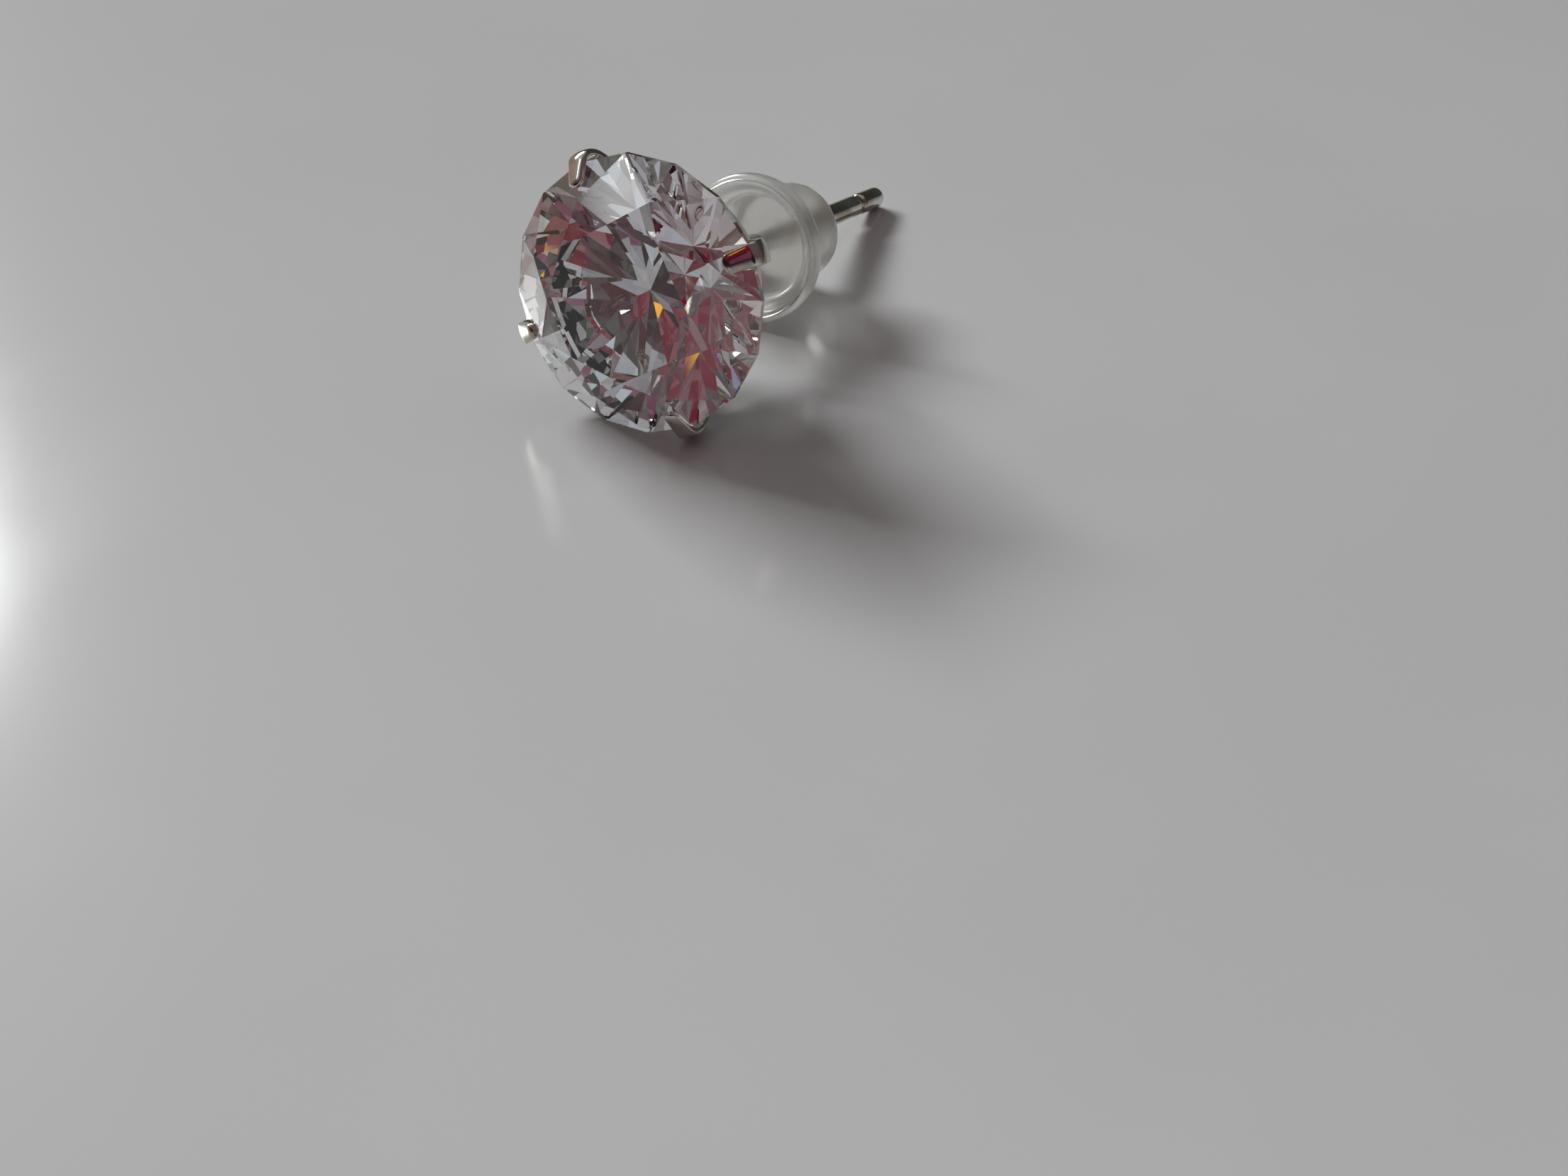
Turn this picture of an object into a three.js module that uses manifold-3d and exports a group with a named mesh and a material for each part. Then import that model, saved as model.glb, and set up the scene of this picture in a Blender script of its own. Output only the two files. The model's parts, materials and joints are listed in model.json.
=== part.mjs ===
// A stud earring: a round brilliant stone held by four prongs, a straight post soldered
// behind it, and a soft clear ear nut on the post.
// It lies on a flat surface as it does when it is put down: on one flat of the stone's
// girdle and on the tip of the post, with the nut's flange just clear of the surface.
// Millimetres, +Z up, the crown towards -Y and the post towards +Y.
// Each piece is made in the jewel's own frame: its axis along Z, the girdle at 0, the
// crown towards +Z, and the side that lies down towards -Y.

import * as THREE from 'three';
import { ConvexGeometry } from 'three/addons/geometries/ConvexGeometry.js';
import { mergeVertices } from 'three/addons/utils/BufferGeometryUtils.js';
import Module from 'manifold-3d';

const wasm = await Module();
wasm.setup();

const DEGREE = Math.PI / 180;

// The stone
const STONE = {
  radius: 4.0,
  girdleHeight: 0.16,
  girdleSides: 16,
  tableRadius: 2.24,
  crownAngle: 34.5 * DEGREE,
  pavilionAngle: 41.75 * DEGREE,
  starLength: 0.5,
  lowerHalfLength: 0.81,
  turn: 11.25 * DEGREE,
};

// The four prongs: flat strips that rise from the plate along the pavilion, stand upright
// past the girdle and fold over the crown, where they narrow. Their middle line runs
// through the foot, the shoulder, the brow and the tip, in radius and height.
// They are bent by hand, so they aren't quite a quarter turn apart.
const PRONG = {
  turns: [30 * DEGREE, 119.8 * DEGREE, 212.5 * DEGREE, 299 * DEGREE],
  foot: new THREE.Vector2(1.33, -4.02),
  shoulder: new THREE.Vector2(4.1, -0.42),
  brow: new THREE.Vector2(4.13, 0.1),
  tip: new THREE.Vector2(3.36, 0.61),
  thickness: 0.26,
  width: 0.64,
  tipWidth: 0.42,
  outerRounding: 0.24,
  innerRounding: 0.14,
  edgeChamfer: 0.05,
};
const SEAT_GAP = 0.05;

// The ring that ties the prongs together half way down, and the plate under the stone
const GALLERY = { inner: 2.4, outer: 2.84, height: 0.5, depth: 2.1, edge: 0.1, taper: 0.14 };
const PLATE = { radius: 1.5, front: 3.76, back: 4.16, edge: 0.1 };

// The post, with a fillet of solder at its root and a groove near its tip
const POST = {
  radius: 0.35,
  tip: 15.5,
  shoulder: 15.3,
  tipFlat: 0.2,
  tipEdge: 0.3,
  tipRound: 0.07,
  grooveStart: 13.72,
  grooveLength: 0.36,
  grooveDepth: 0.07,
  solderRadius: 0.72,
  solderLength: 0.36,
  solderWaist: 0.47,
  solderWaistDepth: 0.14,
};

// The ear nut: a thin dished flange that bears on the ear lobe and a barrel behind it
const NUT = {
  front: 6.45,
  length: 3.35,
  flangeRadius: 2.3,
  rimInner: 2.02,
  rimRound: 0.12,
  rimEdge: 0.04,
  dishRadius: 1.74,
  dishDepth: 0.42,
  edgeDepth: 0.4,
  neckDepth: 0.7,
  neckLength: 0.26,
  neckFlare: 0.18,
  barrelRadius: 1.55,
  endRound: 0.5,
  boreRadius: 0.42,
  boreChamfer: 0.16,
};

const ROUND_SEGMENTS = 40;
const POST_SEGMENTS = 24;
const CURVE_STEPS = 4;
const MERGE_DISTANCE = 1e-5;

const SILVER = { color: 0xc9c7c0, roughness: 0.16, metalness: 1.0 };
const CLEAR_STONE = { color: 0xf4f5f8, roughness: 0.02, metalness: 0.0 };
const CLEAR_RUBBER = { color: 0xe3e2d8, roughness: 0.35, metalness: 0.0 };

/** A point at a turn from the side that lies down, counted towards +X. */
function around(radius, turn, z) {
  return new THREE.Vector3(radius * Math.sin(turn), -radius * Math.cos(turn), z);
}

/** A closed profile of [radius, depth behind the girdle] turned round the jewel's axis. */
function turned(profile, segments) {
  const points = profile.map(([radius, depth]) => new THREE.Vector2(radius, -depth));
  const area = THREE.ShapeUtils.area(points);
  if (area < 0) points.reverse();
  points.push(points[0].clone());
  return new THREE.LatheGeometry(points, segments).rotateX(Math.PI / 2);
}

/** Points of a quarter of a circle in a profile, from an angle onwards, with both ends. */
function quarter(radius, depth, size, from) {
  return Array.from({ length: CURVE_STEPS + 1 }, (_, i) => {
    const angle = from + (i * Math.PI) / 2 / CURVE_STEPS;
    return [radius + size * Math.cos(angle), depth + size * Math.sin(angle)];
  });
}

/** The solid of a closed geometry. */
function solid(geometry) {
  const bare = geometry.clone();
  bare.deleteAttribute('normal');
  bare.deleteAttribute('uv');
  const merged = mergeVertices(bare, MERGE_DISTANCE);
  const index = merged.index.array;
  const triangles = [];
  for (let i = 0; i < index.length; i += 3) {
    const [a, b, c] = [index[i], index[i + 1], index[i + 2]];
    if (a !== b && b !== c && c !== a) triangles.push(a, b, c);
  }
  return new wasm.Manifold(new wasm.Mesh({
    numProp: 3,
    vertProperties: new Float32Array(merged.attributes.position.array),
    triVerts: new Uint32Array(triangles),
  }));
}

/** The geometry of a solid, with flat faces. */
function geometryOf(manifold) {
  const mesh = manifold.getMesh();
  const geometry = new THREE.BufferGeometry();
  geometry.setAttribute('position', new THREE.BufferAttribute(mesh.vertProperties, 3));
  geometry.setIndex(new THREE.BufferAttribute(mesh.triVerts, 1));
  const flat = geometry.toNonIndexed();
  flat.computeVertexNormals();
  return flat;
}

/** Height of the plane of a bezel facet, or of a pavilion main, above the girdle's edge. */
function slope(run, angle) {
  return (STONE.radius - run) * Math.tan(angle);
}

/**
 * A round brilliant: table, 8 stars, 8 bezels, 16 upper halves, a girdle of 16 flats,
 * 16 lower halves and 8 mains. Its corners all lie on their facets' planes, so the hull
 * of the corners is the stone.
 */
function brilliant() {
  const { radius, girdleHeight, girdleSides, tableRadius, turn } = STONE;
  const edge = girdleHeight / 2;
  const step = (2 * Math.PI) / girdleSides;
  const starRadius = tableRadius * Math.cos(step) * (1 - STONE.starLength) + radius * STONE.starLength;
  const starHeight = edge + slope(starRadius * Math.cos(step), STONE.crownAngle);
  const tableHeight = edge + slope(tableRadius, STONE.crownAngle);
  const lowerRadius = radius * (1 - STONE.lowerHalfLength);
  const lowerDepth = edge + slope(lowerRadius * Math.cos(step), STONE.pavilionAngle);
  const points = [new THREE.Vector3(0, 0, -edge - slope(0, STONE.pavilionAngle))];
  for (let i = 0; i < girdleSides; i += 1) {
    const angle = turn + i * step;
    points.push(around(radius, angle, edge), around(radius, angle, -edge));
    if (i % 2 === 0) {
      points.push(around(tableRadius, angle, tableHeight));
    } else {
      points.push(around(starRadius, angle, starHeight), around(lowerRadius, angle, -lowerDepth));
    }
  }
  return new ConvexGeometry(points);
}

/** Corners of a line moved to its left by a distance, each to where its moved sides meet. */
function movedAside(corners, distance) {
  const sides = corners.slice(1).map((corner, i) => corner.clone().sub(corners[i]).normalize());
  return corners.map((corner, i) => {
    const before = sides[Math.max(i - 1, 0)];
    const after = sides[Math.min(i, sides.length - 1)];
    const left = new THREE.Vector2(-before.y, before.x);
    const middle = new THREE.Vector2(-before.y - after.y, before.x + after.x).normalize();
    return corner.clone().addScaledVector(middle, distance / middle.dot(left));
  });
}

/** Draws a line through corners into an outline, with its middle corners rounded. */
function drawRounded(outline, corners, rounding) {
  outline.lineTo(corners[0].x, corners[0].y);
  for (let i = 1; i < corners.length - 1; i += 1) {
    const corner = corners[i];
    const start = corners[i - 1].clone().sub(corner).setLength(rounding).add(corner);
    const end = corners[i + 1].clone().sub(corner).setLength(rounding).add(corner);
    outline.lineTo(start.x, start.y);
    outline.quadraticCurveTo(corner.x, corner.y, end.x, end.y);
  }
  outline.lineTo(corners.at(-1).x, corners.at(-1).y);
}

/** One prong: a strip of even thickness along its middle line, narrower towards its tip. */
function prong() {
  const { shoulder, brow, tip, thickness, width, tipWidth, edgeChamfer } = PRONG;
  const line = [PRONG.foot, shoulder, brow, tip];
  const inside = movedAside(line, thickness / 2).reverse();
  const outside = movedAside(line, -thickness / 2);
  const outline = new THREE.Shape();
  outline.moveTo(outside[0].x, outside[0].y);
  drawRounded(outline, outside, PRONG.outerRounding);
  drawRounded(outline, inside, PRONG.innerRounding);
  const depth = width - 2 * edgeChamfer;
  const geometry = new THREE.ExtrudeGeometry(outline, {
    depth,
    curveSegments: CURVE_STEPS,
    bevelEnabled: true,
    bevelSegments: 1,
    bevelSize: edgeChamfer,
    bevelOffset: -edgeChamfer,
    bevelThickness: edgeChamfer,
  });
  geometry.translate(0, 0, -depth / 2);
  const position = geometry.attributes.position;
  for (let i = 0; i < position.count; i += 1) {
    const share = THREE.MathUtils.clamp((position.getY(i) - brow.y) / (tip.y - brow.y), 0, 1);
    position.setZ(i, position.getZ(i) * THREE.MathUtils.lerp(1, tipWidth / width, share));
  }
  return geometry.rotateX(Math.PI / 2);
}

/** The ring that ties the prongs together, a little narrower behind than in front. */
function galleryRing() {
  const { inner, outer, height, depth, edge, taper } = GALLERY;
  const front = depth - height / 2;
  const back = depth + height / 2;
  return turned([
    [inner, front + edge],
    [inner + edge, front],
    [outer - edge, front],
    [outer, front + edge],
    [outer - taper, back - edge],
    [outer - taper - edge, back],
    [inner - taper + edge, back],
    [inner - taper, back - edge],
  ], ROUND_SEGMENTS);
}

/** The round plate that the prongs and the post stand on. */
function plate() {
  const { radius, front, back, edge } = PLATE;
  return turned([
    [0, front],
    [radius - edge, front],
    [radius, front + edge],
    [radius, back - edge],
    [radius - edge, back],
    [0, back],
  ], ROUND_SEGMENTS);
}

/** The post: solder round its root, which is sunk into the plate, a groove and a round tip. */
function post() {
  const root = (PLATE.front + PLATE.back) / 2;
  const grooveRadius = POST.radius - POST.grooveDepth;
  const grooveEnd = POST.grooveStart + POST.grooveLength;
  return turned([
    [0, root],
    [POST.solderRadius, root],
    [POST.solderRadius, PLATE.back],
    [POST.solderWaist, PLATE.back + POST.solderWaistDepth],
    [POST.radius, PLATE.back + POST.solderLength],
    [POST.radius, POST.grooveStart],
    [grooveRadius, POST.grooveStart + POST.grooveDepth],
    [grooveRadius, grooveEnd - POST.grooveDepth],
    [POST.radius, grooveEnd],
    [POST.radius, POST.shoulder],
    [POST.tipEdge, POST.tip - POST.tipRound],
    [POST.tipFlat, POST.tip],
    [0, POST.tip],
  ], POST_SEGMENTS);
}

/** The four prongs, the gallery ring, the plate and the post, soldered into one solid. */
function prongSetting() {
  let metal = solid(plate()).add(solid(galleryRing())).add(solid(post()));
  for (const turn of PRONG.turns) metal = metal.add(solid(prong().rotateZ(turn - Math.PI / 2)));
  const seat = 1 + SEAT_GAP / (STONE.radius * Math.cos(Math.PI / STONE.girdleSides));
  return geometryOf(metal.subtract(solid(brilliant().scale(seat, seat, seat))));
}

/** The ear nut: a dished flange with a round rim, a barrel, and a bore right through. */
function earNut() {
  const { front, flangeRadius, rimInner, rimRound, rimEdge, dishDepth } = NUT;
  const { barrelRadius, endRound, boreRadius, boreChamfer } = NUT;
  const back = front + NUT.length;
  const neck = front + NUT.neckDepth;
  return turned([
    [boreRadius, front + dishDepth + boreChamfer],
    [boreRadius + boreChamfer, front + dishDepth],
    [NUT.dishRadius, front + dishDepth],
    [rimInner, front + rimEdge],
    [rimInner + rimEdge, front],
    ...quarter(flangeRadius - rimRound, front + rimRound, rimRound, -Math.PI / 2),
    [flangeRadius, front + NUT.edgeDepth],
    [flangeRadius - rimRound, front + NUT.edgeDepth + rimRound],
    [barrelRadius + NUT.neckFlare, neck],
    [barrelRadius, neck + NUT.neckLength],
    ...quarter(barrelRadius - endRound, back - endRound, endRound, 0),
    [boreRadius + boreChamfer, back],
    [boreRadius, back - boreChamfer],
  ], ROUND_SEGMENTS);
}

/** A named mesh with a finish. */
function piece(name, geometry, finish) {
  const mesh = new THREE.Mesh(geometry, new THREE.MeshStandardMaterial(finish));
  mesh.name = name;
  return mesh;
}

/** The angle that the axis drops from the girdle's lowest flat to the tip of the post. */
function restingTilt() {
  const flat = STONE.radius * Math.cos(Math.PI / STONE.girdleSides);
  return Math.atan2(flat - POST.radius, POST.shoulder - STONE.girdleHeight / 2);
}

const jewel = new THREE.Group();
jewel.add(piece('stone', brilliant(), CLEAR_STONE));
jewel.add(piece('prong_setting', prongSetting(), SILVER));
jewel.add(piece('ear_nut', earNut(), CLEAR_RUBBER));
jewel.rotation.x = Math.PI / 2 - restingTilt();

const earring = new THREE.Group();
earring.add(jewel);
earring.updateMatrixWorld(true);
const box = new THREE.Box3().setFromObject(earring, true);
jewel.position.set(-(box.min.x + box.max.x) / 2, -(box.min.y + box.max.y) / 2, -box.min.z);
earring.updateMatrixWorld(true);

export default earring;
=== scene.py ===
"""The looks of a stud earring: a round brilliant in four prongs, a post and a clear ear nut.

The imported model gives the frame. The stone keeps its own facets. The setting and the nut
are drawn again as smooth surfaces in the same places, and every piece gets its finish.
Sizes are in millimetres and angles in degrees, and placing a shape turns them into the
row frame's metres. In the jewel's own frame a point has a radius from the axis, a turn
about it (0 on the side that lies down, 90 towards +X) and a depth behind the girdle.
"""

import json
import logging
import math
from dataclasses import dataclass, field
from enum import Enum
from typing import Any

import bmesh
import bpy
import numpy as np
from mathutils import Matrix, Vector

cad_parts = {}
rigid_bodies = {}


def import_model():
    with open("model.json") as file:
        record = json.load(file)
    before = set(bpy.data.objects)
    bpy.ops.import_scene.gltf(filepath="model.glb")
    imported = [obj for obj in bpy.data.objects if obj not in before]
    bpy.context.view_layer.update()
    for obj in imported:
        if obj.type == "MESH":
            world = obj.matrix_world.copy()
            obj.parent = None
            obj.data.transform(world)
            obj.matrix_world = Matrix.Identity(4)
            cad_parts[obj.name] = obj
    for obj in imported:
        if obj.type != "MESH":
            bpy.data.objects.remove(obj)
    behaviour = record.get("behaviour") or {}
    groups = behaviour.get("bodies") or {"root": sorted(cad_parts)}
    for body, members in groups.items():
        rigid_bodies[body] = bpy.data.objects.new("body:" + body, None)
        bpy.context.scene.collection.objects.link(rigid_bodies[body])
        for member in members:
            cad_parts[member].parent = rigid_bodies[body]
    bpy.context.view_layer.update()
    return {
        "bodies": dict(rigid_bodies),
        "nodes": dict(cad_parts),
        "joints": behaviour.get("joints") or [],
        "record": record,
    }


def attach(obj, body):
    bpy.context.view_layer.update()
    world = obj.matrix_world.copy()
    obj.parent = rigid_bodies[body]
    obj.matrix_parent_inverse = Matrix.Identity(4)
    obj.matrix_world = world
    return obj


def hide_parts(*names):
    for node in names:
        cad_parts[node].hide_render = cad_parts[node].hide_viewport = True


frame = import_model()

MM = 0.001

# In metres: points that are merged, and how far from the tip its corners may lie
MERGE_DISTANCE = 1e-7
TIP_SLICE = 1e-6

# In millimetres: points of a line that count as one, and the least length to divide by
SAME_POINT = 1e-6
NO_LENGTH = 1e-9

# Least step along a prong between its even run and its rounded end
LEAST_STEP = 0.02

log = logging.getLogger("earring")


class Body(Enum):
    """The bodies that the pieces ride on."""

    STUD = "stud"
    NUT = "nut"


class Slot(Enum):
    """The record's material slots."""

    STONE = "clear_stone"
    SILVER = "polished_silver"
    RUBBER = "clear_rubber"


class Node(Enum):
    """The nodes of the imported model."""

    STONE = "stone"
    SETTING = "prong_setting"
    NUT = "ear_nut"


# Shapes


@dataclass(frozen=True)
class JewelFrame:
    """The jewel's own frame, as it lies in the row frame.

    Attributes:
        origin: Centre of the girdle, in metres.
        axis: Unit vector from the girdle to the tip of the post.
        up: Unit vector across the axis, away from the side that lies down.
        side: Unit vector across both, towards +X.
    """

    origin: np.ndarray
    axis: np.ndarray
    up: np.ndarray
    side: np.ndarray

    @classmethod
    def from_packed(cls, packed: dict[str, Any], tip_depth: float) -> "JewelFrame":
        """Finds the frame from the nut's sliding axis and from the post's tip.

        The tip is the mean of the setting's corners that lie farthest along the axis.

        Args:
            tip_depth: Depth of the post's tip behind the girdle, in millimetres.

        Returns:
            The jewel's frame.
        """
        axis = np.array(packed["joints"][0]["axis"], float)
        axis /= np.linalg.norm(axis)
        mesh = packed["nodes"][Node.SETTING.value].data
        corners = np.empty(len(mesh.vertices) * 3, np.float32)
        mesh.vertices.foreach_get("co", corners)
        corners = corners.reshape(-1, 3).astype(float)
        along = corners @ axis
        tip = corners[along > along.max() - TIP_SLICE].mean(axis=0)
        side = np.array([1.0, 0.0, 0.0])
        return cls(tip - tip_depth * MM * axis, axis, np.cross(side, axis), side)

    def place(
        self, radius: np.ndarray, turn: np.ndarray, depth: np.ndarray, aside: np.ndarray | float = 0.0
    ) -> np.ndarray:
        """Points of the jewel in the row frame.

        A point is the origin, plus the radius along the outward line at its turn, plus
        the step aside along the line across that, plus the depth along the axis.

        Args:
            radius: Distance from the axis, in millimetres.
            turn: Turn about the axis, in radians.
            depth: Depth behind the girdle, in millimetres.
            aside: Step across the outward line, in millimetres.

        Returns:
            The points in metres, with the three coordinates last.
        """
        radius, turn, depth, aside = np.broadcast_arrays(radius, turn, depth, aside)
        sine, cosine = np.sin(turn)[..., None], np.cos(turn)[..., None]
        outward = sine * self.side - cosine * self.up
        across = cosine * self.side + sine * self.up
        shift = radius[..., None] * outward + aside[..., None] * across + depth[..., None] * self.axis
        return self.origin + MM * shift


def rounded(corners: np.ndarray, closed: bool, steps: int = 7) -> np.ndarray:
    """A line through corners, each of them rounded off.

    Each corner becomes a quadratic curve: it starts its own rounding length before the
    corner, on the side that comes in, has the corner as its control point, and ends as
    far after it. A length of 0 leaves the corner sharp.

    Args:
        corners: Rows of two coordinates and a rounding length.
        closed: Whether the last corner joins the first.
        steps: Points on each corner's curve.

    Returns:
        The line's points, as rows of two coordinates.
    """
    middle, length = corners[:, :2], corners[:, 2:3]
    before, after = np.roll(middle, 1, axis=0), np.roll(middle, -1, axis=0)
    if not closed:
        before[0], after[-1] = middle[0], middle[-1]

    def towards(other: np.ndarray) -> np.ndarray:
        """The point on the way to the other corner, at the rounding length."""
        way = other - middle
        size = np.linalg.norm(way, axis=1, keepdims=True)
        return middle + length * way / np.maximum(size, NO_LENGTH)

    start, end = towards(before)[:, None], towards(after)[:, None]
    t = np.linspace(0, 1, steps)[None, :, None]
    curve = (1 - t) ** 2 * start + 2 * t * (1 - t) * middle[:, None] + t**2 * end
    line = curve.reshape(-1, 2)
    keep = np.linalg.norm(np.diff(line, axis=0, prepend=line[-1:] + 1), axis=1) > SAME_POINT
    return line[keep]


def evenly(line: np.ndarray, spacing: float, closed: bool = False) -> np.ndarray:
    """The same line with more points, none farther apart than a spacing.

    The line's own points stay, and others are read off it at even lengths along it,
    except where they would fall within a third of the spacing of one that stays.

    Args:
        line: Rows of coordinates.
        spacing: Greatest distance between two points.
        closed: Whether the last point joins the first.

    Returns:
        The finer line.
    """
    whole = np.vstack([line, line[:1]]) if closed else line
    length = np.concatenate([[0.0], np.cumsum(np.linalg.norm(np.diff(whole, axis=0), axis=1))])
    extra = np.linspace(0.0, length[-1], int(length[-1] / spacing) + 2)
    gap = np.abs(extra[:, None] - length[None, :]).min(axis=1)
    at = np.sort(np.concatenate([length, extra[gap > spacing / 3]]))
    fine = np.stack([np.interp(at, length, whole[:, k]) for k in range(whole.shape[1])], axis=1)
    return fine[:-1] if closed else fine


def skin(name: str, points: np.ndarray, ring: bool = False) -> bpy.types.Object:
    """A closed smooth surface over a grid of points.

    Rows of the grid are joined to the next row by four-sided faces and each row is
    closed on itself. Points that coincide at a pole are merged.

    Args:
        name: The piece's name.
        points: Grid of points in metres, rows by columns by three.
        ring: Whether the last row joins the first, as on a ring.

    Returns:
        The new object, in the scene.
    """
    rows, columns = points.shape[:2]
    index = np.arange(rows * columns).reshape(rows, columns)
    index = np.hstack([index, index[:, :1]])
    if ring:
        index = np.vstack([index, index[:1]])
    corners = (index[:-1, :-1], index[:-1, 1:], index[1:, 1:], index[1:, :-1])
    quads = np.stack(corners, axis=-1).reshape(-1, 4)
    mesh = bpy.data.meshes.new(name)
    mesh.from_pydata(points.reshape(-1, 3).tolist(), [], quads.tolist())
    work = bmesh.new()
    work.from_mesh(mesh)
    bmesh.ops.remove_doubles(work, verts=work.verts, dist=MERGE_DISTANCE)
    bmesh.ops.recalc_face_normals(work, faces=work.faces)
    work.to_mesh(mesh)
    work.free()
    mesh.shade_smooth()
    piece = bpy.data.objects.new(name, mesh)
    bpy.context.scene.collection.objects.link(piece)
    return piece


def turned(
    jewel: JewelFrame, name: str, line: np.ndarray, ring: bool, segments: int = 96
) -> bpy.types.Object:
    """A line of radius and depth carried round the jewel's axis.

    Args:
        jewel: The jewel's frame.
        name: The piece's name.
        line: Rows of radius and depth, in millimetres.
        ring: Whether the line is closed, as on a piece with a hole.
        segments: Steps round the axis.

    Returns:
        The new piece.
    """
    turn = np.linspace(0.0, 2 * math.pi, segments, endpoint=False)[None, :]
    return skin(name, jewel.place(line[:, :1], turn, line[:, 1:]), ring)


def dress(piece: bpy.types.Object, material: bpy.types.Material, body: Body) -> None:
    """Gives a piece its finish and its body."""
    piece.data.materials.clear()
    piece.data.materials.append(material)
    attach(piece, body.value)


# Finishes


class Wiring:
    """Puts nodes into a tree and joins them."""

    def __init__(self, tree: bpy.types.NodeTree) -> None:
        """Takes the tree that the nodes go into."""
        self.tree = tree

    def node(self, kind: str, inputs: dict[str | int, Any] | None = None, **settings: Any) -> bpy.types.Node:
        """Adds a node, sets its properties and fills its inputs.

        Args:
            kind: The node's type.
            inputs: What goes into each input: another node's output, or a value.
            **settings: Properties of the node, such as its operation.

        Returns:
            The new node.
        """
        made = self.tree.nodes.new(kind)
        for key, value in settings.items():
            setattr(made, key, value)
        for key, value in (inputs or {}).items():
            if isinstance(value, bpy.types.NodeSocket):
                self.tree.links.new(value, made.inputs[key])
            else:
                made.inputs[key].default_value = value
        return made

    def join(self, source: bpy.types.NodeSocket, target: bpy.types.NodeSocket) -> None:
        """Links an output to an input."""
        self.tree.links.new(source, target)

    def mix(self, factor: Any, first: Any, second: Any) -> bpy.types.NodeSocket:
        """The colour between two colours, by a factor."""
        return self.node("ShaderNodeMix", {0: factor, 6: first, 7: second}, data_type="RGBA").outputs[2]

    def math(self, operation: str, first: Any, second: Any = 0.0) -> bpy.types.NodeSocket:
        """The outcome of a sum on one or two numbers."""
        return self.node("ShaderNodeMath", {0: first, 1: second}, operation=operation).outputs[0]

    def vector(self, operation: str, first: Any, second: Any = (0.0, 0.0, 0.0)) -> bpy.types.Node:
        """A sum on one or two vectors."""
        return self.node("ShaderNodeVectorMath", {0: first, 1: second}, operation=operation)

    def ramp(
        self, value: Any, low: Any, high: Any, at_low: float, at_high: float
    ) -> bpy.types.NodeSocket:
        """A number that eases from one value to another while another number passes a range."""
        spans = {"Value": value, "From Min": low, "From Max": high, "To Min": at_low, "To Max": at_high}
        return self.node("ShaderNodeMapRange", spans, interpolation_type="SMOOTHSTEP").outputs[0]

    def bump(self, height: Any, strength: float, depth: float) -> bpy.types.NodeSocket:
        """The normals of a fine relief, from its height."""
        inputs = {"Height": height, "Strength": strength, "Distance": depth}
        return self.node("ShaderNodeBump", inputs).outputs[0]

    def group(self, tree: bpy.types.NodeTree, inputs: dict[str | int, Any]) -> bpy.types.Node:
        """Places a node group with its own values."""
        return self.node("ShaderNodeGroup", inputs, node_tree=tree)


def new_group(name: str, inputs: dict[str, str], outputs: dict[str, str]) -> bpy.types.NodeTree:
    """An empty shader node group with named sockets.

    Args:
        name: The group's name.
        inputs: Each input's name and its socket type, such as Float.
        outputs: Each output's name and its socket type.

    Returns:
        The group.
    """
    tree = bpy.data.node_groups.new(name, "ShaderNodeTree")
    for way, sockets in (("INPUT", inputs), ("OUTPUT", outputs)):
        for label, kind in sockets.items():
            tree.interface.new_socket(name=label, in_out=way, socket_type=f"NodeSocket{kind}")
    return tree


def rgba(colour: tuple[float, float, float]) -> tuple[float, float, float, float]:
    """A colour with its alpha of 1."""
    return (*colour, 1.0)


# Half the range of noise over which a dulled patch fades in
PATCH_EDGE = 0.12

# How the hair scratches are drawn out along their axis, and how that axis is turned
SCRATCH_STRETCH = (1.0, 0.14, 0.9)
SCRATCH_TURN = (0.3, 0.2, 0.7)


def handled_group() -> bpy.types.NodeTree:
    """The traces of handling on a small shiny thing: dulled patches and hair scratches.

    A patch is where a soft noise on the piece's own coordinates passes a level. The
    scratches are a fine noise on coordinates that are drawn out along one axis.

    Returns:
        The group, with the inputs Patch Scale, Patch Level and Scratch Scale and the
        outputs Patches and Scratches.
    """
    inputs = {"Patch Scale": "Float", "Patch Level": "Float", "Scratch Scale": "Float"}
    tree = new_group("handled_surface", inputs, {"Patches": "Float", "Scratches": "Float"})
    wire = Wiring(tree)
    given = wire.node("NodeGroupInput").outputs
    place = wire.node("ShaderNodeTexCoord").outputs["Object"]
    soft = wire.node(
        "ShaderNodeTexNoise",
        {"Vector": place, "Scale": given["Patch Scale"], "Detail": 3.0, "Roughness": 0.55},
    ).outputs["Fac"]
    above = wire.math("SUBTRACT", soft, given["Patch Level"])
    patches = wire.ramp(above, -PATCH_EDGE, PATCH_EDGE, 0.0, 1.0)
    drawn = wire.node(
        "ShaderNodeMapping",
        {"Vector": place, "Scale": SCRATCH_STRETCH, "Rotation": SCRATCH_TURN},
    )
    fine = wire.node(
        "ShaderNodeTexNoise",
        {"Vector": drawn.outputs[0], "Scale": given["Scratch Scale"], "Detail": 2.0, "Roughness": 0.7},
    ).outputs["Fac"]
    wire.node("NodeGroupOutput", {"Patches": patches, "Scratches": fine})
    return tree


def new_material(name: str) -> tuple[bpy.types.Material, Wiring, bpy.types.Node]:
    """An empty material with a Principled shader on its output.

    Args:
        name: The material's name.

    Returns:
        The material, the wiring of its tree, and its shader node.
    """
    material = bpy.data.materials.new(name)
    material.use_nodes = True
    material.node_tree.nodes.clear()
    wire = Wiring(material.node_tree)
    shader = wire.node("ShaderNodeBsdfPrincipled")
    wire.node("ShaderNodeOutputMaterial", {"Surface": shader.outputs[0]})
    return material, wire, shader


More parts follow.
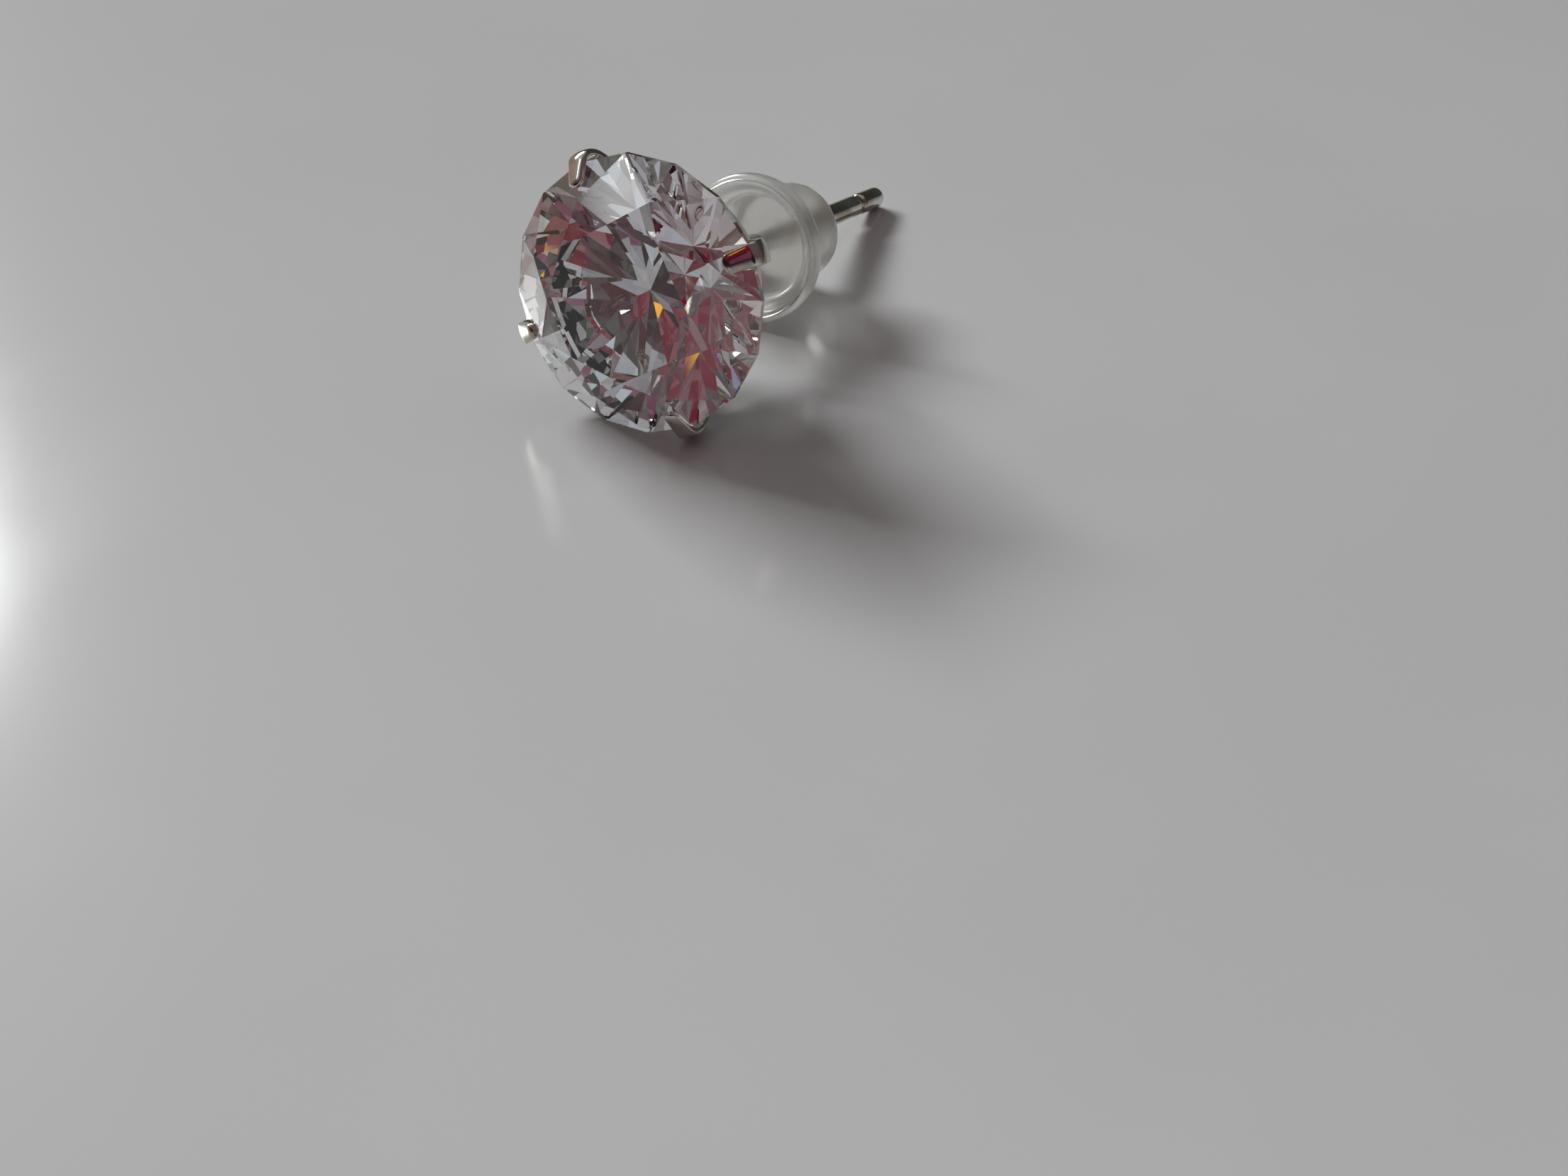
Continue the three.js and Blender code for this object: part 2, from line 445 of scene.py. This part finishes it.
@dataclass(frozen=True)
class Handling:
    """How coarse the handling traces of a finish are.

    Attributes:
        patch_scale: Scale of the noise that makes the dulled patches.
        patch_level: Level of that noise in the middle of a patch's edge.
        scratch_scale: Scale of the noise that makes the hair scratches.
    """

    patch_scale: float
    patch_level: float
    scratch_scale: float

    def place(self, wire: Wiring, handled: bpy.types.NodeTree) -> Any:
        """Places the group of handling traces with these values.

        Args:
            wire: The wiring of the material's tree.
            handled: The group of handling traces.

        Returns:
            The group's outputs, Patches and Scratches.
        """
        return wire.group(handled, {
            "Patch Scale": self.patch_scale,
            "Patch Level": self.patch_level,
            "Scratch Scale": self.scratch_scale,
        }).outputs


@dataclass(frozen=True)
class SilverFinish:
    """Polished silver, a little tarnished and scratched."""

    bright: tuple[float, float, float] = (0.76, 0.74, 0.69)
    tarnish: tuple[float, float, float] = (0.47, 0.41, 0.31)
    polished: float = 0.04
    dulled: float = 0.15
    scratch_depth: float = 0.0000012
    scratch_strength: float = 0.25
    handling: Handling = Handling(patch_scale=900.0, patch_level=0.5, scratch_scale=16000.0)

    def material(self, handled: bpy.types.NodeTree) -> bpy.types.Material:
        """Makes the metal.

        Args:
            handled: The group of handling traces.

        Returns:
            The material.
        """
        material, wire, shader = new_material("polished_silver")
        traces = self.handling.place(wire, handled)
        colour = wire.mix(traces["Patches"], rgba(self.bright), rgba(self.tarnish))
        gloss = wire.ramp(traces["Patches"], 0.0, 1.0, self.polished, self.dulled)
        relief = wire.bump(traces["Scratches"], self.scratch_strength, self.scratch_depth)
        wire.join(colour, shader.inputs["Base Color"])
        wire.join(gloss, shader.inputs["Roughness"])
        wire.join(relief, shader.inputs["Normal"])
        shader.inputs["Metallic"].default_value = 1.0
        return material


@dataclass(frozen=True)
class RubberFinish:
    """Clear soft rubber, a little milky, with a skin that shines."""

    clear: tuple[float, float, float] = (0.98, 0.98, 0.96)
    yellowed: tuple[float, float, float] = (0.94, 0.93, 0.87)
    polished: float = 0.30
    dulled: float = 0.34
    scratch_depth: float = 0.000004
    scratch_strength: float = 0.2
    transmission: float = 0.85
    ior: float = 1.41
    scatter: float = 0.001
    scatter_tint: tuple[float, float, float] = (1.0, 1.0, 0.9)
    skin: float = 1.0
    skin_gloss: float = 0.05
    handling: Handling = Handling(patch_scale=420.0, patch_level=0.5, scratch_scale=5000.0)

    def material(self, handled: bpy.types.NodeTree) -> bpy.types.Material:
        """Makes the rubber.

        Args:
            handled: The group of handling traces.

        Returns:
            The material.
        """
        material, wire, shader = new_material("clear_rubber")
        traces = self.handling.place(wire, handled)
        colour = wire.mix(traces["Patches"], rgba(self.clear), rgba(self.yellowed))
        gloss = wire.ramp(traces["Patches"], 0.0, 1.0, self.polished, self.dulled)
        relief = wire.bump(traces["Scratches"], self.scratch_strength, self.scratch_depth)
        wire.join(colour, shader.inputs["Base Color"])
        wire.join(gloss, shader.inputs["Roughness"])
        wire.join(relief, shader.inputs["Normal"])
        shader.inputs["Transmission Weight"].default_value = self.transmission
        shader.inputs["IOR"].default_value = self.ior
        shader.inputs["Subsurface Weight"].default_value = 1.0
        shader.inputs["Subsurface Radius"].default_value = self.scatter_tint
        shader.inputs["Subsurface Scale"].default_value = self.scatter
        shader.inputs["Coat Weight"].default_value = self.skin
        shader.inputs["Coat Roughness"].default_value = self.skin_gloss
        return material


@dataclass(frozen=True)
class StoneFinish:
    """A clear colourless stone that bends light strongly, with a faint smudge of handling."""

    clear: tuple[float, float, float] = (1.0, 1.0, 1.0)
    cool: tuple[float, float, float] = (0.97, 0.985, 1.0)
    ior: float = 2.17
    smudge: float = 0.012
    handling: Handling = Handling(patch_scale=350.0, patch_level=0.58, scratch_scale=9000.0)

    def material(self, handled: bpy.types.NodeTree) -> bpy.types.Material:
        """Makes the stone.

        Args:
            handled: The group of handling traces.

        Returns:
            The material.
        """
        material, wire, shader = new_material("clear_stone")
        traces = self.handling.place(wire, handled)
        colour = wire.mix(traces["Patches"], rgba(self.clear), rgba(self.cool))
        gloss = wire.ramp(traces["Patches"], 0.0, 1.0, 0.0, self.smudge)
        wire.join(colour, shader.inputs["Base Color"])
        wire.join(gloss, shader.inputs["Roughness"])
        shader.inputs["Transmission Weight"].default_value = 1.0
        shader.inputs["IOR"].default_value = self.ior
        return material


@dataclass(frozen=True)
class TableFinish:
    """The pale smooth surface that the earring lies on."""

    colour: tuple[float, float, float] = (0.61, 0.615, 0.622)
    shade: tuple[float, float, float] = (0.595, 0.60, 0.607)
    polished: float = 0.14
    dulled: float = 0.17
    handling: Handling = Handling(patch_scale=60.0, patch_level=0.5, scratch_scale=900.0)

    def material(self, handled: bpy.types.NodeTree) -> bpy.types.Material:
        """Makes the surface.

        Args:
            handled: The group of handling traces.

        Returns:
            The material.
        """
        material, wire, shader = new_material("pale_surface")
        traces = self.handling.place(wire, handled)
        colour = wire.mix(traces["Patches"], rgba(self.colour), rgba(self.shade))
        gloss = wire.ramp(traces["Patches"], 0.0, 1.0, self.polished, self.dulled)
        wire.join(colour, shader.inputs["Base Color"])
        wire.join(gloss, shader.inputs["Roughness"])
        return material


# The earring's sub-assemblies


@dataclass
class Stone:
    """The round brilliant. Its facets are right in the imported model, so the node stays."""

    finish: StoneFinish = field(default_factory=StoneFinish)

    def build(
        self, nodes: dict[str, bpy.types.Object], handled: bpy.types.NodeTree
    ) -> list[bpy.types.Object]:
        """Gives the stone's node its finish.

        Args:
            nodes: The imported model's nodes.
            handled: The group of handling traces.

        Returns:
            The stone.
        """
        stone = nodes[Node.STONE.value]
        stone.data.materials.clear()
        stone.data.materials.append(self.finish.material(handled))
        return [stone]


@dataclass(frozen=True)
class Prong:
    """What is one prong's own, since each of them is cut and bent by hand.

    Attributes:
        turn: Its turn about the axis, in degrees.
        width: Its width up to where its claw begins, in millimetres.
        end_width: The width of its claw's end.
        lean: How far its claw's end leans aside.
        swell: How far its outer side swells in the middle.
    """

    turn: float
    width: float
    end_width: float
    lean: float = 0.0
    swell: float = 0.05


@dataclass
class ProngSetting:
    """The soldered silver: four prongs, the gallery ring, the plate and the post.

    Attributes:
        jewel: The jewel's frame.
        finish: The metal's finish.
        prongs: What is each prong's own.
        prong_thickness: Thickness of the strip that the prongs are cut from.
        prong_edge: Rounding of the strip's edges.
        path_spacing: Greatest step along a prong.
        section_spacing: Greatest step round a prong's and the ring's section.
        claw_length: Length over which a prong's width changes to its end's.
        claw_rounding: Length over which a claw's end closes.
        claw_steps: Points along that length.
        ring_depth: Depth of the gallery ring's middle.
        ring_half_height: Half the ring's height along the axis.
        ring_front: The ring's inner and outer radius towards the stone.
        ring_back: The same, towards the plate.
        plate_radius: Radius of the plate.
        plate_front: Depth of its face towards the stone.
        plate_back: Depth of its face towards the ear.
        plate_edge: Rounding of its edges.
        post_radius: Radius of the post.
        post_root: Depth at which it begins, inside the plate.
        solder_radius: Radius of the solder at its root.
        groove_depth: How far the groove goes in.
        groove_slope: Length of each of the groove's sides along the axis.
        groove_front: Depth at which the groove's floor begins.
        groove_back: Depth at which it ends.
        groove_edge: Rounding of the groove's corners.
        tip_depth: Depth of the post's tip.
        tip_rounding: Rounding of the tip.
    """

    jewel: JewelFrame
    finish: SilverFinish = field(default_factory=SilverFinish)
    prongs: tuple[Prong, ...] = (
        Prong(turn=30.0, width=0.62, end_width=0.40),
        Prong(turn=119.8, width=0.70, end_width=0.54),
        Prong(turn=212.5, width=0.62, end_width=0.40, lean=0.1),
        Prong(turn=299.0, width=0.66, end_width=0.42),
    )
    prong_thickness: float = 0.17
    prong_edge: float = 0.045
    path_spacing: float = 0.07
    section_spacing: float = 0.05
    claw_length: float = 1.0
    claw_rounding: float = 0.2
    claw_steps: int = 14
    ring_depth: float = 2.1
    ring_half_height: float = 0.25
    ring_front: tuple[float, float] = (2.40, 2.84)
    ring_back: tuple[float, float] = (2.26, 2.74)
    plate_radius: float = 1.50
    plate_front: float = 3.76
    plate_back: float = 4.16
    plate_edge: float = 0.12
    post_radius: float = 0.35
    post_root: float = 4.0
    solder_radius: float = 0.78
    groove_depth: float = 0.07
    groove_slope: float = 0.1
    groove_front: float = 13.8
    groove_back: float = 14.0
    groove_edge: float = 0.06
    tip_depth: float = 15.5
    tip_rounding: float = 0.24

    def prong_path(self) -> np.ndarray:
        """The middle line of a prong, from the plate, past the girdle and over the crown.

        Returns:
            Rows of radius and depth: three straight runs with rounded bends between.
        """
        corners = np.array([
            [1.33, 4.02, 0.0],
            [4.14, 0.42, 0.30],
            [4.18, -0.12, 0.22],
            [3.36, -0.665, 0.0],
        ])
        return evenly(rounded(corners, closed=False, steps=12), self.path_spacing)

    def prong_section(self) -> np.ndarray:
        """The outline across a prong: a rectangle with small round edges.

        The first prong gives the width, and the others take the same shares.

        Returns:
            Rows of shares of the half width and of the half thickness.
        """
        half = np.array([self.prongs[0].width, self.prong_thickness]) / 2
        corners = np.array([[1.0, 1.0], [-1.0, 1.0], [-1.0, -1.0], [1.0, -1.0]]) * half
        edged = np.hstack([corners, np.full((4, 1), self.prong_edge)])
        return evenly(rounded(edged, closed=True), self.section_spacing, closed=True) / half

    def prong(self, own: Prong, name: str) -> bpy.types.Object:
        """One prong: a flat strip carried along its path, with a rounded claw.

        The section is as wide and thick as the strip, and its outer side swells as a
        parabola does. Along the claw the width changes evenly to the end's, and the
        line shifts aside by the lean. At the end the width and the thickness shrink as
        a quarter of a circle does, so it is round from the front and from the side.

        Args:
            own: What is this prong's own.
            name: The piece's name.

        Returns:
            The new piece.
        """
        path = self.prong_path()
        length = np.concatenate([[0.0], np.cumsum(np.linalg.norm(np.diff(path, axis=0), axis=1))])
        end = length[-1] - self.claw_rounding
        closing = np.sin(np.linspace(0.0, math.pi / 2, self.claw_steps)) * self.claw_rounding
        at = np.concatenate([length[length < end - LEAST_STEP], end + closing])
        line = np.stack([np.interp(at, length, path[:, k]) for k in range(2)], axis=1)
        way = np.gradient(line, at, axis=0)
        way /= np.linalg.norm(way, axis=1, keepdims=True)
        beyond = np.clip((at - end) / self.claw_rounding, 0.0, 1.0)
        fullness = np.sqrt(np.maximum(1.0 - beyond**2, 0.0))
        fullness[0] = 0.0
        claw = np.clip((at - length[-1]) / self.claw_length + 1.0, 0.0, 1.0)[:, None]
        wide, thick = self.prong_section().T
        half_width = (own.width + (own.end_width - own.width) * claw) / 2 * fullness[:, None]
        aside = half_width * wide + own.lean * claw
        swell = own.swell * np.maximum(thick, 0.0) * (1.0 - wide**2)
        off = (self.prong_thickness / 2 * thick + swell) * np.sqrt(fullness)[:, None]
        radius = line[:, :1] - way[:, 1:] * off
        depth = line[:, 1:] + way[:, :1] * off
        points = self.jewel.place(radius, np.array(math.radians(own.turn)), depth, aside)
        return skin(name, points)

    def gallery_ring(self) -> bpy.types.Object:
        """The ring that ties the prongs together half way down.

        Returns:
            The new piece.
        """
        front = self.ring_depth - self.ring_half_height
        back = self.ring_depth + self.ring_half_height
        corners = np.array([
            [self.ring_front[0], front, 0.12],
            [self.ring_front[1], front, 0.12],
            [self.ring_back[1], back, 0.14],
            [self.ring_back[0], back, 0.14],
        ])
        line = evenly(rounded(corners, closed=True), self.section_spacing, closed=True)
        return turned(self.jewel, "gallery_ring", line, ring=True)

    def plate(self) -> bpy.types.Object:
        """The round plate under the stone, which the prongs and the post stand on.

        Returns:
            The new piece.
        """
        corners = np.array([
            [0.0, self.plate_front, 0.0],
            [self.plate_radius, self.plate_front, self.plate_edge],
            [self.plate_radius, self.plate_back, self.plate_edge],
            [0.0, self.plate_back, 0.0],
        ])
        return turned(self.jewel, "plate", evenly(rounded(corners, closed=False), 0.08), ring=False)

    def post(self) -> bpy.types.Object:
        """The straight post: a fillet of solder at its root, a groove and a round tip.

        Returns:
            The new piece.
        """
        radius, root, solder, tip = self.post_radius, self.post_root, self.solder_radius, self.tip_depth
        groove, edge = radius - self.groove_depth, self.groove_edge
        corners = np.array([
            [0.0, root, 0.0],
            [solder, root, 0.0],
            [solder - 0.04, root + 0.18, 0.05],
            [radius + 0.04, root + 0.28, 0.16],
            [radius, root + 0.56, 0.1],
            [radius, self.groove_front - self.groove_slope, edge],
            [groove, self.groove_front, edge],
            [groove, self.groove_back, edge],
            [radius, self.groove_back + self.groove_slope, edge],
            [radius, tip, self.tip_rounding],
            [0.0, tip, 0.0],
        ])
        line = evenly(rounded(corners, closed=False), 0.12)
        return turned(self.jewel, "post", line, ring=False, segments=64)

    def build(self, handled: bpy.types.NodeTree) -> list[bpy.types.Object]:
        """Makes the setting's pieces and dresses them.

        Args:
            handled: The group of handling traces.

        Returns:
            The pieces.
        """
        prongs = [self.prong(own, f"prong_{i + 1}") for i, own in enumerate(self.prongs)]
        pieces = [*prongs, self.gallery_ring(), self.plate(), self.post()]
        silver = self.finish.material(handled)
        for piece in pieces:
            dress(piece, silver, Body.STUD)
            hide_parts(Node.SETTING.value)
        return pieces


@dataclass
class EarNut:
    """The ear nut: a dished flange with a round rim, and a barrel, on the post.

    Attributes:
        jewel: The jewel's frame.
        finish: The rubber's finish.
        front: Depth of the rim's flat top.
        length: Length along the axis.
        flange_radius: Radius of the flange.
        flange_thickness: Its thickness at the rim.
        rim_width: Width of the rim's flat top.
        rim_edge: Rounding of its outer edges.
        dish_from_edge: Distance from the flange's edge at which the dish's floor begins.
        dish_depth: Depth of the dish there.
        dish_fall: How much deeper the dish is at the bore.
        barrel_radius: Radius of the barrel.
        bore_radius: Radius of the bore.
    """

    jewel: JewelFrame
    finish: RubberFinish = field(default_factory=RubberFinish)
    front: float = 6.45
    length: float = 3.35
    flange_radius: float = 2.3
    flange_thickness: float = 0.54
    rim_width: float = 0.27
    rim_edge: float = 0.20
    dish_from_edge: float = 0.58
    dish_depth: float = 0.40
    dish_fall: float = 0.07
    barrel_radius: float = 1.55
    bore_radius: float = 0.37

    def profile(self) -> np.ndarray:
        """The nut's closed outline, from the bore round the flange and the barrel.

        Returns:
            Rows of radius and depth.
        """
        front, back = self.front, self.front + self.length
        flange, barrel, bore = self.flange_radius, self.barrel_radius, self.bore_radius
        corners = np.array([
            [bore, front + self.dish_depth + self.dish_fall, 0.08],
            [flange - self.dish_from_edge, front + self.dish_depth, 0.16],
            [flange - self.rim_width, front, 0.12],
            [flange, front, self.rim_edge],
            [flange, front + self.flange_thickness, self.rim_edge],
            [barrel + 0.15, front + 0.66, 0.18],
            [barrel, front + 0.95, 0.15],
            [barrel, back, 0.50],
            [bore, back, 0.12],
        ])
        return evenly(rounded(corners, closed=True, steps=10), 0.06, closed=True)

    def build(self, handled: bpy.types.NodeTree) -> list[bpy.types.Object]:
        """Makes the nut and dresses it.

        Args:
            handled: The group of handling traces.

        Returns:
            The nut.
        """
        nut = turned(self.jewel, "clear_ear_nut", self.profile(), ring=True, segments=128)
        dress(nut, self.finish.material(handled), Body.NUT)
        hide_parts(Node.NUT.value)
        return [nut]


# The stage


def heading(azimuth: float, elevation: float) -> np.ndarray:
    """The unit vector at an azimuth, from +X towards +Y, and an elevation, in degrees."""
    a, e = math.radians(azimuth), math.radians(elevation)
    return np.array([math.cos(a) * math.cos(e), math.sin(a) * math.cos(e), math.sin(e)])


def chord(angle: float) -> float:
    """The straight distance between two unit vectors with an angle between them, in degrees."""
    return 2 * math.sin(math.radians(angle) / 2)


@dataclass(frozen=True)
class Zone:
    """A soft patch of the room round the earring.

    Attributes:
        azimuth: Its middle, from +X towards +Y.
        elevation: Its middle above the horizon.
        reach: Angle from its middle up to which it is at its full colour.
        fade: Angle at which it has faded out.
        colour: Its light, as a linear colour.
        tall: How much narrower it is than high; below 1 it is wider than high.
    """

    azimuth: float
    elevation: float
    reach: float
    fade: float
    colour: tuple[float, float, float]
    tall: float = 1.0


@dataclass
class Room:
    """What the facets, the metal and the rubber see round them, as a world of soft zones.

    Attributes:
        base: The light where no zone lies.
        backdrop: What the camera sees past the surface.
        zones: The zones, each laid over those before it.
    """

    base: tuple[float, float, float] = (0.10, 0.08, 0.085)
    backdrop: tuple[float, float, float] = (0.50, 0.50, 0.49)
    zones: tuple[Zone, ...] = (
        # Round the window and above it
        Zone(170, 25, 20, 40, (0.30, 0.24, 0.20)),
        Zone(135, 60, 28, 40, (0.40, 0.44, 0.43), 0.7),
        # Reds and darks in front of the stone
        Zone(-90, 70, 20, 50, (0.14, 0.05, 0.055), 1.2),
        Zone(-65, 35, 17, 20, (0.14, 0.01, 0.02), 0.65),
        Zone(-105, 13, 18, 21, (0.02, 0.01, 0.01), 0.7),
        Zone(-55, 25, 13, 16, (0.045, 0.01, 0.015), 0.55),
        # A blue gap among them, and two pale ones low down
        Zone(-75, 43, 2.6, 3.8, (0.20, 0.20, 0.32), 1.7),
        Zone(-63, 0, 5, 9, (0.42, 0.47, 0.52), 0.75),
        Zone(-20, 0, 1, 24, (0.45, 0.47, 0.53), 0.4),
        # A dark and a rose patch beside them, towards +X
        Zone(-35, 20, 13, 14, (0.03, 0.01, 0.01), 1.3),
        Zone(-50, 32, 10, 11, (0.14, 0.04, 0.08), 1.15),
        # The dark behind, which the post mirrors
        Zone(95, 14, 22, 36, (0.045, 0.046, 0.042), 0.6),
        # Small lamps, one white and two gold, which make the sparks
        Zone(-155, 45, 1.2, 2.4, (2.3, 2.4, 2.4), 0.6),
        Zone(-109.5, 55.5, 1.0, 1.6, (0.95, 0.48, 0.03)),
        Zone(-68, 52, 1.2, 2.0, (0.95, 0.48, 0.03)),
    )

    def zone_group(self) -> bpy.types.NodeTree:
        """A group that lays one soft patch over the colour under it.

        The patch's strength depends on the length of the step from its middle to the
        direction looked at, with the step's height counted more or less than its width.

        Returns:
            The group.
        """
        inputs = {
            "Direction": "Vector",
            "Middle": "Vector",
            "Stretch": "Vector",
            "Reach": "Float",
            "Fade": "Float",
            "Under": "Color",
            "Over": "Color",
        }
        tree = new_group("room_zone", inputs, {"Colour": "Color"})
        wire = Wiring(tree)
        given = wire.node("NodeGroupInput").outputs
        step = wire.vector("SUBTRACT", given["Direction"], given["Middle"]).outputs[0]
        scaled = wire.vector("MULTIPLY", step, given["Stretch"]).outputs[0]
        length = wire.vector("LENGTH", scaled).outputs["Value"]
        share = wire.ramp(length, given["Reach"], given["Fade"], 1.0, 0.0)
        wire.node("NodeGroupOutput", {"Colour": wire.mix(share, given["Under"], given["Over"])})
        return tree

    def build(self) -> None:
        """Makes the world: the zones for the light, and a plain backdrop for the camera."""
        world = bpy.data.worlds.new("room")
        bpy.context.scene.world = world
        world.use_nodes = True
        world.node_tree.nodes.clear()
        wire = Wiring(world.node_tree)
        group = self.zone_group()
        looking = wire.node("ShaderNodeTexCoord").outputs["Generated"]
        colour: Any = rgba(self.base)
        for zone in self.zones:
            colour = wire.group(group, {
                "Direction": looking,
                "Middle": tuple(heading(zone.azimuth, zone.elevation)),
                "Stretch": (zone.tall, zone.tall, 1.0),
                "Reach": chord(zone.reach),
                "Fade": chord(zone.fade),
                "Under": colour,
                "Over": rgba(zone.colour),
            }).outputs[0]
        seen = wire.node("ShaderNodeLightPath").outputs["Is Camera Ray"]
        light = wire.node("ShaderNodeBackground", {"Color": wire.mix(seen, colour, rgba(self.backdrop))})
        wire.node("ShaderNodeOutputWorld", {"Surface": light.outputs[0]})


@dataclass
class Window:
    """The large soft light from the left.

    Attributes:
        azimuth: Where it hangs, from +X towards +Y.
        elevation: Where it hangs above the horizon.
        distance: Its distance from the row frame's origin, in metres.
        width: Its width, in metres.
        height: Its height, in metres.
        power: Its power, in watts.
        colour: Its colour.
    """

    azimuth: float = 161.0
    elevation: float = 30.5
    distance: float = 1.0
    width: float = 0.53
    height: float = 0.165
    power: float = 10.7
    colour: tuple[float, float, float] = (0.975, 1.0, 0.99)

    def build(self) -> bpy.types.Object:
        """Hangs the light, facing the earring.

        Returns:
            The light.
        """
        light = bpy.data.lights.new("window", "AREA")
        light.shape = "RECTANGLE"
        light.size, light.size_y = self.width, self.height
        light.energy = self.power
        light.color = self.colour
        made = bpy.data.objects.new("window", light)
        way = Vector(heading(self.azimuth, self.elevation))
        made.location = way * self.distance
        made.rotation_euler = way.to_track_quat("Z", "Y").to_euler()
        bpy.context.scene.collection.objects.link(made)
        return made


@dataclass
class Table:
    """The pale surface under the earring.

    Attributes:
        radius: Its radius, in metres.
        rings: Rings of points from its middle to its edge.
        segments: Points round each ring.
        finish: Its finish.
    """

    radius: float = 1.6
    rings: int = 12
    segments: int = 64
    finish: TableFinish = field(default_factory=TableFinish)

    def build(self, handled: bpy.types.NodeTree) -> bpy.types.Object:
        """Lays the surface: a round sheet at height 0, from rings that widen outwards.

        Args:
            handled: The group of handling traces.

        Returns:
            The surface.
        """
        radius = self.radius * np.linspace(0.0, 1.0, self.rings)[:, None] ** 2
        turn = np.linspace(0.0, 2 * math.pi, self.segments, endpoint=False)[None, :]
        flat = np.broadcast_arrays(radius * np.cos(turn), radius * np.sin(turn), 0.0)
        table = skin("table", np.stack(flat, axis=-1))
        table.data.materials.append(self.finish.material(handled))
        return table


@dataclass
class Camera:
    """The camera, where the photograph was taken from.

    Attributes:
        azimuth: How far it stands round from the front, towards +X.
        elevation: Its height above the surface, as an angle.
        distance: Its distance from the point that it aims at.
        aim: That point on the surface.
        lens: Focal length.
        sensor: Width of the sensor.
        nearest: Nearest distance that it shows, in metres.
        farthest: Farthest distance that it shows, in metres.
    """

    azimuth: float = 28.54
    elevation: float = 35.98
    distance: float = 60.75
    aim: tuple[float, float] = (7.79, -12.43)
    lens: float = 53.46
    sensor: float = 36.0
    nearest: float = 0.001
    farthest: float = 10.0

    def build(self) -> bpy.types.Object:
        """Makes the camera and aims it at a point on the table.

        Returns:
            The camera.
        """
        data = bpy.data.cameras.new("camera")
        data.sensor_width = self.sensor
        data.lens = self.lens
        data.clip_start, data.clip_end = self.nearest, self.farthest
        camera = bpy.data.objects.new("camera", data)
        back = Vector(heading(self.azimuth - 90.0, self.elevation))
        camera.location = (Vector((*self.aim, 0.0)) + back * self.distance) * MM
        camera.rotation_mode = "QUATERNION"
        camera.rotation_quaternion = back.to_track_quat("Z", "Y")
        bpy.context.scene.collection.objects.link(camera)
        bpy.context.scene.camera = camera
        return camera


def let_light_through() -> None:
    """Lets light bounce often enough inside the stone, and shows it without a film curve."""
    scene = bpy.context.scene
    scene.cycles.max_bounces = 20
    scene.cycles.transmission_bounces = 20
    scene.cycles.glossy_bounces = 8
    scene.cycles.diffuse_bounces = 4
    scene.view_settings.view_transform = "Standard"
    scene.view_settings.look = "None"


def main() -> None:
    """Builds the stage and the earring, and reports each piece."""
    logging.basicConfig(level=logging.INFO, format="%(name)s: %(message)s")
    Camera().build()
    Room().build()
    Window().build()
    handled = handled_group()
    Table().build(handled)
    jewel = JewelFrame.from_packed(frame, ProngSetting.tip_depth)
    pieces = Stone().build(frame["nodes"], handled)
    pieces += ProngSetting(jewel).build(handled)
    pieces += EarNut(jewel).build(handled)
    for piece in pieces:
        log.info("%s: %d faces", piece.name, len(piece.data.polygons))
    let_light_through()


if __name__ == "__main__":
    main()
